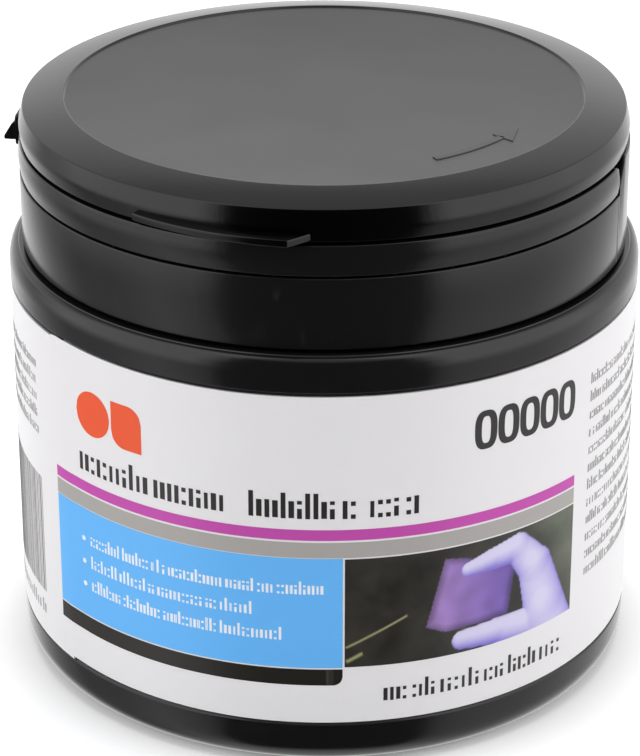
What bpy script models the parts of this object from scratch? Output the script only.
"""A bar of detailing clay in its wide-mouth jar, with a tamper-evident flip-top closure.

Units are metres, +Z is up. The origin is on the jar's axis, on the surface it stands on. The front of the
closure (thumb ledge, tear band) faces -Y and the living hinge is at +Y. An azimuth is measured about the
jar's axis from the front, -Y, and is positive towards +X.
"""
import math

import bmesh
import bpy
from mathutils import Vector

MM = 0.001
STEPS = 64                      # facets round a full turn
GAP = 0.3 * MM                  # clearance between neighbours

# Jar
BODY_R = 50.0 * MM              # widest radius, at the shoulder and over the label
LABEL_THICK = 0.25 * MM
LABEL_Z = (8.0 * MM, 63.2 * MM)
RECESS_R = BODY_R - LABEL_THICK - GAP
WALL = 1.35 * MM
SHOULDER_Z = 66.3 * MM          # where the shoulder starts to round over
LEDGE_Z = 69.2 * MM             # flat ledge below the closure
LEDGE_R = 48.4 * MM
FOOT_R = 46.1 * MM              # outer radius of the ring that it stands on
FOOT_IN_R = 42.5 * MM
PUSH_UP = 1.6 * MM              # height of the underside inside the foot ring
FLOOR_Z = PUSH_UP + WALL
NECK_R = 44.8 * MM
NECK_IN_R = 43.2 * MM
NECK_TOP = 84.5 * MM
BEAD_R = 45.9 * MM              # snap bead on the neck
BEAD_Z = (77.6 * MM, 79.6 * MM)
BEAD_UNDERCUT = 0.3 * MM        # drop of the bead's lower face, which the collar hooks under
BEAD_RAMP = 0.7 * MM            # drop of its upper face, which the collar rides over
INNER_ROUND = 3.4 * MM          # fillet between the floor and the wall
FOOT_ROUND = 4.0 * MM           # height of the curve between the wall and the foot ring
FOOT_SET_IN = 0.3 * MM          # the wall below the label, inside the widest radius
SHOULDER_IN = (0.9 * MM, 1.2 * MM)      # bevel inside the shoulder, across and down
RECESS_STEP = 0.4 * MM          # slope at the ends of the label's recess
MOUTH_ROUND = 0.4 * MM

# Closure
COLLAR_R = 47.85 * MM
COLLAR_WALL = 1.35 * MM
COLLAR_Z = (69.8 * MM, 81.0 * MM)
COLLAR_EDGE = 0.3 * MM          # bevel on its outer edges
HOOK_DROP = (1.2 * MM, 2.2 * MM)        # the snap hook's taper starts and ends this far below its face
BAND_R = 47.95 * MM
BAND_BULGE = 0.25 * MM
BAND_EDGE = 0.2 * MM            # bevel on the band's outer edges
BAND_Z = (81.35 * MM, 86.1 * MM)
BAND_AZ = (-83.5, 85.0)         # degrees
BAND_END_GAPS = (0.7, 0.6, 1.0)     # degrees to the collar: left end, the V's foot, right end
REAR_TOP = 86.2 * MM            # top of the collar's rear section
V_GAP_AZ = 90.5                 # where the gap at the band's right end reaches at its top, degrees
LID_R = 47.75 * MM
LID_Z = 86.6 * MM               # lower rim of the lid
LID_WALL = 1.35 * MM
PANEL_Z = 92.4 * MM
PANEL_R = 40.3 * MM
PANEL_STEP = 0.35 * MM          # slope of the step between the panel and the rim
RIM_Z = 92.7 * MM               # inner edge of the sloping rim, the highest point
RIM_ROUND = (                   # the rim's rounding into the skirt, (radius, z)
    (46.7 * MM, 91.55 * MM),
    (47.1 * MM, 91.25 * MM),
    (47.45 * MM, 90.2 * MM),
    (LID_R, 88.9 * MM),
)
SKIRT_TAPER = (0.3 * MM, 88.2 * MM)    # how far the skirt's lower edge tapers in, and from what height
LID_PLATE = 1.8 * MM
LID_PLATE_ROUND = (0.4 * MM, 0.6 * MM)  # bevel under the plate, down and across
PLUG_R = NECK_IN_R - GAP
PLUG_WALL = 1.3 * MM
PLUG_Z = 81.6 * MM
PLUG_LEAD_IN = (0.6 * MM, 0.8 * MM)     # bevel that guides the plug into the neck, across and up

# Thumb ledge on the lid's lower rim, and the pull tab on the band's left end
LEDGE_AZ = (-20.0, 9.0, 12.8)   # start, widest, end of the slanted end face, degrees
THUMB_R = 50.6 * MM
THUMB_Z = (86.9 * MM, 88.0 * MM)
THUMB_ROOT = 0.9 * MM           # how far the ledge is let into the skirt
THUMB_START = 0.8 * MM          # how far it stands out at its start
TAB_AZ = -84.0
TAB_TIP_R = 51.75 * MM
TAB_FLAP = (48.55 * MM, 49.2 * MM)
TAB_FLAP_HALF_DEG = 3.8
TAB_FLAP_Z = (81.4 * MM, 86.5 * MM)
TAB_FIN_THICK = 1.4 * MM
TAB_FIN_RISE = (0.1 * MM, 0.7 * MM, 3.0 * MM, 3.6 * MM)     # the fin's heights above the flap's foot
TAB_FIN_ROOT = (0.2 * MM, 0.5 * MM)     # it is let into the flap, and leaves it with a short top
TAB_ROOT_R = (47.0 * MM, 48.9 * MM)
TAB_ROOT_AZ = -82.1
TAB_ROOT_DROP = 0.6 * MM        # the root's top, below the band's

# Hinge
HINGE_Y = 49.5 * MM
HINGE_Z = 86.4 * MM
HINGE_WIDTH = 26.0 * MM
HINGE_LAND_Y = (45.7 * MM, 49.0 * MM)   # flat blocks that the web is moulded between
COLLAR_LAND_Z = (80.8 * MM, REAR_TOP)
LID_LAND_Z = (LID_Z, 90.2 * MM)
WEB_SIZE = (21.0 * MM, 0.4 * MM, 3.4 * MM)
WEB_EDGE = 0.12 * MM

# Clay
CLAY_SIZE = (70.0 * MM, 52.0 * MM, 31.0 * MM)
CLAY_CORNER = 8.0 * MM
CLAY_EDGE = 2.2 * MM

for old in list(bpy.data.objects):
    bpy.data.objects.remove(old, do_unlink=True)


def collection(name):
    made = bpy.data.collections.new(name)
    bpy.context.scene.collection.children.link(made)
    return made


PARTS = collection("clay_jar")
CUTTERS = collection("cutters")


def plastic(name, colour, roughness):
    """A plain Principled material."""
    material = bpy.data.materials.new(name)
    material.use_nodes = True
    shader = material.node_tree.nodes["Principled BSDF"]
    shader.inputs["Base Color"].default_value = (*colour, 1.0)
    shader.inputs["Roughness"].default_value = roughness
    shader.inputs["Metallic"].default_value = 0.0
    return material


def at(radius, azimuth, z=0.0):
    """The point at a radius, an azimuth in degrees and a height."""
    turn = math.radians(azimuth)
    return Vector((radius * math.sin(turn), -radius * math.cos(turn), z))


def arc(centre, radius, start, end, count):
    """Points of an arc in the (radius, z) plane, angles in degrees from +radius towards +z."""
    points = []
    for i in range(count + 1):
        angle = math.radians(start + (end - start) * i / count)
        points.append((centre[0] + radius * math.cos(angle), centre[1] + radius * math.sin(angle)))
    return points


def new_object(name, mesh, material, home):
    made = bpy.data.objects.new(name, mesh)
    home.objects.link(made)
    if material:
        mesh.materials.append(material)
    if home is CUTTERS:
        made.hide_render = True
        made.display_type = "WIRE"
    return made


def turned(name, profile, closed, material, home):
    """A profile of (radius, z) points, down its outer side, turned about the Z axis."""
    mesh = bpy.data.meshes.new(name)
    edges = [(i, i + 1) for i in range(len(profile) - 1)]
    if closed:
        edges.append((len(profile) - 1, 0))
    mesh.from_pydata([(r, 0.0, z) for r, z in profile], edges, [])
    made = new_object(name, mesh, material, home)
    screw = made.modifiers.new("turn", "SCREW")
    screw.axis = "Z"
    screw.angle = math.tau
    screw.steps = STEPS
    screw.render_steps = STEPS
    screw.use_merge_vertices = True
    screw.merge_threshold = 0.00001
    screw.use_smooth_shade = True
    return made


def boolean(target, cutter, operation):
    step = target.modifiers.new(cutter.name, "BOOLEAN")
    step.operation = operation
    step.solver = "EXACT"
    step.object = cutter


def slab(name, outline, z_low, z_high):
    """A flat outline of (x, y) points, filled and given thickness, as a cutter mesh."""
    curve = bpy.data.curves.new(name, "CURVE")
    curve.dimensions = "2D"
    curve.fill_mode = "BOTH"
    curve.extrude = (z_high - z_low) / 2
    spline = curve.splines.new("POLY")
    spline.points.add(len(outline) - 1)
    for point, (x, y) in zip(spline.points, outline):
        point.co = (x, y, 0.0, 1.0)
    spline.use_cyclic_u = True
    drawn = bpy.data.objects.new(name + "_outline", curve)
    CUTTERS.objects.link(drawn)
    bpy.context.view_layer.update()
    evaluated = drawn.evaluated_get(bpy.context.evaluated_depsgraph_get())
    mesh = bpy.data.meshes.new_from_object(evaluated)
    bpy.data.objects.remove(drawn, do_unlink=True)
    shape = bmesh.new()
    shape.from_mesh(mesh)
    bmesh.ops.remove_doubles(shape, verts=shape.verts, dist=0.00001)
    bmesh.ops.recalc_face_normals(shape, faces=shape.faces)
    shape.to_mesh(mesh)
    shape.free()
    made = new_object(name, mesh, None, CUTTERS)
    made.location.z = (z_low + z_high) / 2
    return made


def box(name, low, high, material=None, home=None):
    """A box between two corners, from a unit cube with its size in the mesh."""
    mesh = bpy.data.meshes.new(name)
    shape = bmesh.new()
    bmesh.ops.create_cube(shape, size=1.0)
    bmesh.ops.scale(shape, vec=Vector(high) - Vector(low), verts=shape.verts)
    shape.to_mesh(mesh)
    shape.free()
    made = new_object(name, mesh, material, home or CUTTERS)
    made.location = (Vector(low) + Vector(high)) / 2
    return made


def pie(name, az_from, az_to, z_low, z_high):
    """A wedge round the axis that takes in the azimuths from az_from to az_to."""
    reach = 70.0 * MM
    steps = 12
    outline = [(0.0, 0.0)]
    for i in range(steps + 1):
        point = at(reach, az_from + (az_to - az_from) * i / steps)
        outline.append((point.x, point.y))
    return slab(name, outline, z_low, z_high)


BLACK_GLOSS = plastic("jar_black_plastic", (0.012, 0.012, 0.013), 0.28)
BLACK_SATIN = plastic("closure_black_plastic", (0.022, 0.022, 0.024), 0.42)
LABEL_FILM = plastic("label_white_film", (0.80, 0.80, 0.82), 0.35)
CLAY_LILAC = plastic("lilac_clay", (0.33, 0.22, 0.52), 0.65)


def make_jar_body():
    inner_r = RECESS_R - WALL
    across, down = SHOULDER_IN
    shoulder_in = LEDGE_Z - WALL
    profile = [(0.0, FLOOR_Z)]
    profile += arc((inner_r - INNER_ROUND, FLOOR_Z + INNER_ROUND), INNER_ROUND, -90, 0, 4)
    profile += [(inner_r, SHOULDER_Z - 2 * MM), (inner_r - across, shoulder_in)]
    profile += [(NECK_IN_R + across, shoulder_in), (NECK_IN_R, shoulder_in + down)]
    profile += [(NECK_IN_R, NECK_TOP - MOUTH_ROUND), (NECK_IN_R + MOUTH_ROUND, NECK_TOP)]
    profile += [(NECK_R - MOUTH_ROUND, NECK_TOP), (NECK_R, NECK_TOP - MOUTH_ROUND)]
    profile += [(NECK_R, BEAD_Z[1]), (BEAD_R, BEAD_Z[1] - BEAD_RAMP)]
    profile += [(BEAD_R, BEAD_Z[0] + BEAD_UNDERCUT), (NECK_R, BEAD_Z[0])]
    profile += [(NECK_R, LEDGE_Z)]
    rise = LEDGE_Z - SHOULDER_Z
    for i in range(4):
        turn = math.radians(90 - 30 * i)
        reach = BODY_R - LEDGE_R
        profile.append((LEDGE_R + reach * math.cos(turn), SHOULDER_Z + rise * math.sin(turn)))
    wall_r = BODY_R - FOOT_SET_IN
    profile += [(BODY_R, LABEL_Z[1] + 2 * RECESS_STEP), (RECESS_R, LABEL_Z[1] + RECESS_STEP)]
    profile += [(RECESS_R, LABEL_Z[0] - RECESS_STEP), (wall_r, LABEL_Z[0] - 2 * RECESS_STEP)]
    for i in range(1, 5):
        turn = math.radians(-22.5 * i)
        reach = wall_r - FOOT_R
        profile.append((FOOT_R + reach * math.cos(turn), FOOT_ROUND * (1 + math.sin(turn))))
    profile += [(FOOT_IN_R, 0.0), (FOOT_IN_R - 1.2 * MM, PUSH_UP), (0.0, PUSH_UP)]
    turned("jar_body", profile, False, BLACK_GLOSS, PARTS)


def make_label():
    inner = BODY_R - LABEL_THICK
    profile = [(inner, LABEL_Z[1]), (BODY_R, LABEL_Z[1]), (BODY_R, LABEL_Z[0]), (inner, LABEL_Z[0])]
    turned("label", profile, True, LABEL_FILM, PARTS)


def make_closure_collar():
    inner = COLLAR_R - COLLAR_WALL
    hook_r = NECK_R + GAP
    groove_r = BEAD_R + GAP
    hook_z = BEAD_Z[0] - GAP
    stop_z = BEAD_Z[1] + GAP
    profile = [
        (inner, REAR_TOP),
        (COLLAR_R - COLLAR_EDGE, REAR_TOP),
        (COLLAR_R, REAR_TOP - COLLAR_EDGE),
        (COLLAR_R, COLLAR_Z[0] + COLLAR_EDGE),
        (COLLAR_R - COLLAR_EDGE, COLLAR_Z[0]),
        (inner, COLLAR_Z[0]),
        (inner, hook_z - HOOK_DROP[1]),
        (hook_r, hook_z - HOOK_DROP[0]),
        (hook_r, hook_z),
        (groove_r, hook_z + BEAD_UNDERCUT),
        (groove_r, stop_z - BEAD_RAMP),
        (hook_r, stop_z),
        (hook_r, COLLAR_Z[1] - GAP),
        (inner, COLLAR_Z[1]),
    ]
    collar = turned("closure_collar", profile, True, BLACK_SATIN, PARTS)
    left_gap, v_gap, right_gap = BAND_END_GAPS
    window = pie("band_window", BAND_AZ[0] - left_gap, BAND_AZ[1] + right_gap, COLLAR_Z[1], REAR_TOP + 2 * MM)
    boolean(collar, window, "DIFFERENCE")
    # The gap at the band's right end is a V: the collar's end face leans back.
    low = at(COLLAR_R, BAND_AZ[1] + v_gap, BAND_Z[0] + 0.7 * MM)
    width = COLLAR_R * math.radians(V_GAP_AZ - BAND_AZ[1] - v_gap)
    height = REAR_TOP + 1 * MM - low.z
    outline = [(0.0, 0.0), (width, height), (0.0, height)]
    notch = slab("v_notch", outline, -4 * MM, 4 * MM)
    notch.location = low
    notch.rotation_euler = (math.radians(90), 0.0, math.radians(BAND_AZ[1] + 3.0))
    boolean(collar, notch, "DIFFERENCE")
    half = HINGE_WIDTH / 2
    land = box(
        "collar_hinge_land",
        (-half, HINGE_LAND_Y[0], COLLAR_LAND_Z[0]),
        (half, HINGE_LAND_Y[1], COLLAR_LAND_Z[1]),
    )
    boolean(collar, land, "UNION")


def make_tear_band():
    inner = COLLAR_R - COLLAR_WALL
    side = BAND_R - BAND_BULGE
    low, high = BAND_Z
    profile = [(inner, high), (side - BAND_EDGE, high)]
    for i in range(5):
        part = i / 4
        z = high - BAND_EDGE - (high - low - 2 * BAND_EDGE) * part
        profile.append((side + BAND_BULGE * math.sin(math.pi * part), z))
    profile += [(side - BAND_EDGE, low), (inner, low)]
    band = turned("tear_band", profile, True, BLACK_SATIN, PARTS)
    boolean(band, pie("band_extent", *BAND_AZ, low - 2 * MM, high + 2 * MM), "INTERSECT")

    # Pull tab: a curved flap that stands off the closure, rooted on the band, with a gusset fin on it.
    flap_from, flap_to = TAB_AZ - TAB_FLAP_HALF_DEG, TAB_AZ + TAB_FLAP_HALF_DEG
    outline = [tuple(at(TAB_FLAP[0], flap_from + (flap_to - flap_from) * i / 4).xy) for i in range(5)]
    outline += [tuple(at(TAB_FLAP[1], flap_to + (flap_from - flap_to) * i / 4).xy) for i in range(5)]
    boolean(band, slab("tab_flap", outline, *TAB_FLAP_Z), "UNION")
    root_in, root_out = TAB_ROOT_R
    corners = ((root_in, TAB_ROOT_AZ), (root_out, TAB_ROOT_AZ), (root_out, flap_to), (root_in, flap_to))
    root = [tuple(at(radius, azimuth).xy) for radius, azimuth in corners]
    boolean(band, slab("tab_root", root, TAB_FLAP_Z[0], BAND_Z[1] - TAB_ROOT_DROP), "UNION")
    let_in, top = TAB_FIN_ROOT
    foot, toe, crest, head = (TAB_FLAP_Z[0] + rise for rise in TAB_FIN_RISE)
    fin = [
        (TAB_FLAP[0] + let_in, foot),
        (TAB_TIP_R, foot),
        (TAB_TIP_R, toe),
        (TAB_FLAP[1] + top, crest),
        (TAB_FLAP[1], head),
        (TAB_FLAP[0] + let_in, head),
    ]
    gusset = slab("tab_fin", fin, -TAB_FIN_THICK / 2, TAB_FIN_THICK / 2)
    gusset.rotation_euler = (math.radians(90), 0.0, math.radians(TAB_AZ - 90))
    boolean(band, gusset, "UNION")


def make_lid():
    skirt_in = LID_R - LID_WALL
    plate_z = PANEL_Z - LID_PLATE
    plug_in = PLUG_R - PLUG_WALL
    profile = [
        (0.0, PANEL_Z),
        (PANEL_R, PANEL_Z),
        (PANEL_R + PANEL_STEP, RIM_Z),
        *RIM_ROUND,
        (LID_R, SKIRT_TAPER[1]),
        (LID_R - SKIRT_TAPER[0], LID_Z),
        (skirt_in, LID_Z),
        (skirt_in, plate_z - LID_PLATE_ROUND[0]),
        (skirt_in - LID_PLATE_ROUND[1], plate_z),
        (PLUG_R, plate_z),
        (PLUG_R, PLUG_Z + PLUG_LEAD_IN[1]),
        (PLUG_R - PLUG_LEAD_IN[0], PLUG_Z),
        (plug_in, PLUG_Z),
        (plug_in, plate_z),
        (0.0, plate_z),
    ]
    lid = turned("lid", profile, False, BLACK_SATIN, PARTS)

    # Thumb ledge: it stands further out from its start, and ends in a slanted face.
    start, widest, end = LEDGE_AZ
    root_r = LID_R - THUMB_ROOT
    count = 8
    outline = [tuple(at(root_r, end + (start - end) * i / count).xy) for i in range(count + 1)]
    for i in range(count + 1):
        part = i / count
        radius = LID_R + THUMB_START + (THUMB_R - LID_R - THUMB_START - 0.1 * MM) * part ** 0.8
        outline.append(tuple(at(radius, start + (widest - start) * part).xy))
    boolean(lid, slab("thumb_ledge", outline, *THUMB_Z), "UNION")

    half = HINGE_WIDTH / 2
    land = box(
        "lid_hinge_land",
        (-half, HINGE_LAND_Y[0], LID_LAND_Z[0]),
        (half, HINGE_LAND_Y[1], LID_LAND_Z[1]),
    )
    boolean(lid, land, "UNION")


def make_living_hinge():
    wide, thick, tall = WEB_SIZE
    y = HINGE_LAND_Y[1] + GAP + thick / 2
    web = box(
        "living_hinge",
        (-wide / 2, y - thick / 2, HINGE_Z - tall / 2),
        (wide / 2, y + thick / 2, HINGE_Z + tall / 2),
        BLACK_SATIN,
        PARTS,
    )
    rounded = web.modifiers.new("soft_edges", "BEVEL")
    rounded.width = WEB_EDGE
    rounded.segments = 1


def make_clay_bar():
    wide, deep, tall = CLAY_SIZE
    low = FLOOR_Z + GAP
    bar = box(
        "clay_bar",
        (-wide / 2, -deep / 2, low),
        (wide / 2, deep / 2, low + tall),
        CLAY_LILAC,
        PARTS,
    )
    shape = bmesh.new()
    shape.from_mesh(bar.data)
    upright = [e for e in shape.edges if abs((e.verts[0].co - e.verts[1].co).normalized().z) > 0.9]
    bmesh.ops.bevel(shape, geom=upright, offset=CLAY_CORNER, segments=5, profile=0.5, affect="EDGES")
    shape.to_mesh(bar.data)
    shape.free()
    rounded = bar.modifiers.new("soft_edges", "BEVEL")
    rounded.width = CLAY_EDGE
    rounded.segments = 3
    rounded.limit_method = "ANGLE"
    rounded.angle_limit = math.radians(50)


def on_joint(piece, name, place):
    """Parent a moving piece to an empty on its joint's axis, where it stands."""
    axis = bpy.data.objects.new(name, None)
    axis.location = place
    PARTS.objects.link(axis)
    bpy.context.view_layer.update()
    piece.parent = axis
    piece.matrix_parent_inverse = axis.matrix_world.inverted()


make_jar_body()
make_label()
make_closure_collar()
make_tear_band()
make_lid()
make_living_hinge()
make_clay_bar()
on_joint(bpy.data.objects["lid"], "lid_hinge_axis", (0.0, HINGE_Y, HINGE_Z))
